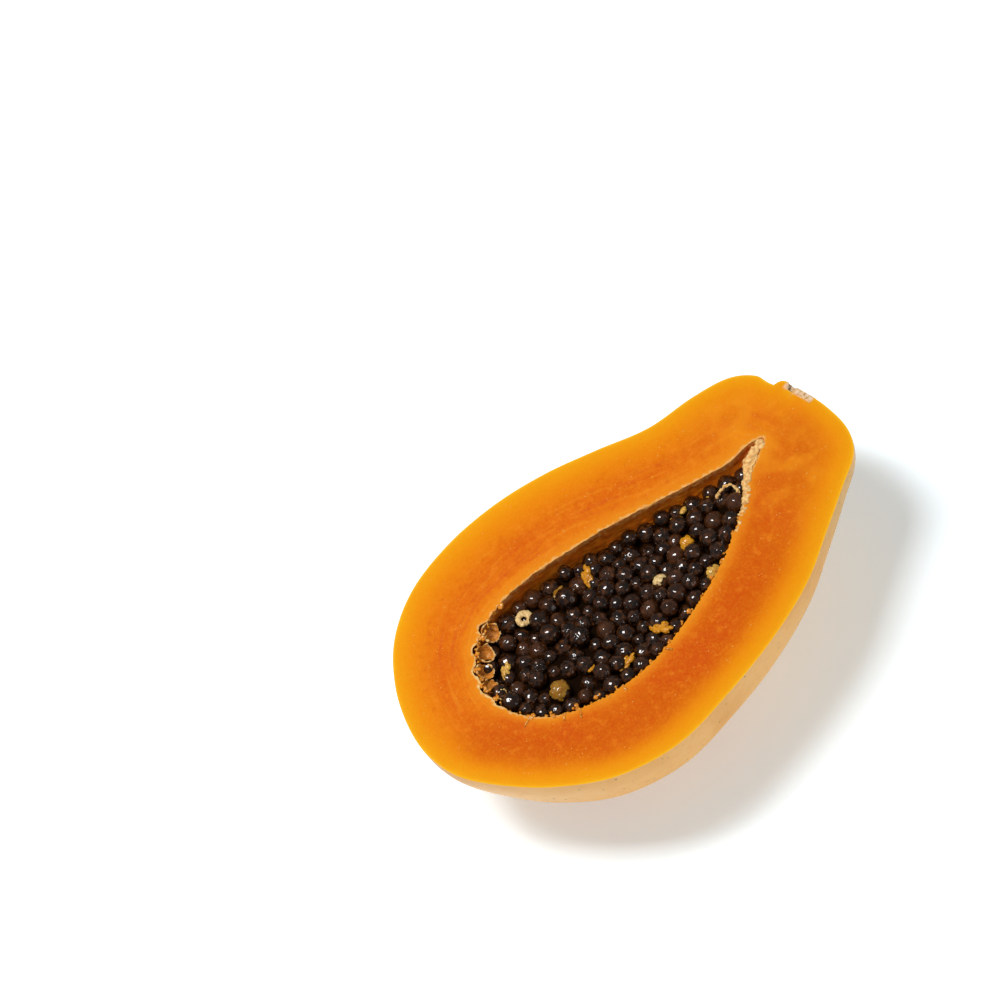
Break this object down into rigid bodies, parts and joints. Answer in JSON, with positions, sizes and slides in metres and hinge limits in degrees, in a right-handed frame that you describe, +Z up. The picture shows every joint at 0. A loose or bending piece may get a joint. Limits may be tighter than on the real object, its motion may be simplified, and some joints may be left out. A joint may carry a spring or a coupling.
{
  "type": "papaya half",
  "caption": "Half of a ripe papaya cut lengthwise, cut face up, with an orange fleshy body and an open cavity filled with round black seeds.",
  "frame": {"origin": "under the middle of the bounding box, on the surface that the fruit lies on", "axes": "+X from the blossom end to the stem end, +Z up out of the level cut face, +Y towards the side of the cavity where the seeds lie lowest"},
  "size_m": [0.15, 0.0976, 0.0484],
  "materials": {
    "flesh_and_skin": "moist cut flesh inside a thin, waxy, yellow to orange skin",
    "seed": "wet, glossy, near-black brown",
    "pale_seed": "soft, moist, pale yellow"
  },
  "bodies": {
    "root": {"papaya_half": "flesh_and_skin", "seeds": "seed", "pale_seed_01": "pale_seed", "pale_seed_02": "pale_seed", "pale_seed_03": "pale_seed", "pale_seed_04": "pale_seed", "pale_seed_05": "pale_seed", "pale_seed_06": "pale_seed", "pale_seed_07": "pale_seed", "pale_seed_08": "pale_seed", "pale_seed_09": "pale_seed", "pale_seed_10": "pale_seed", "pale_seed_11": "pale_seed", "pale_seed_12": "pale_seed", "pale_seed_13": "pale_seed", "pale_seed_14": "pale_seed"}
  },
  "joints": []
}
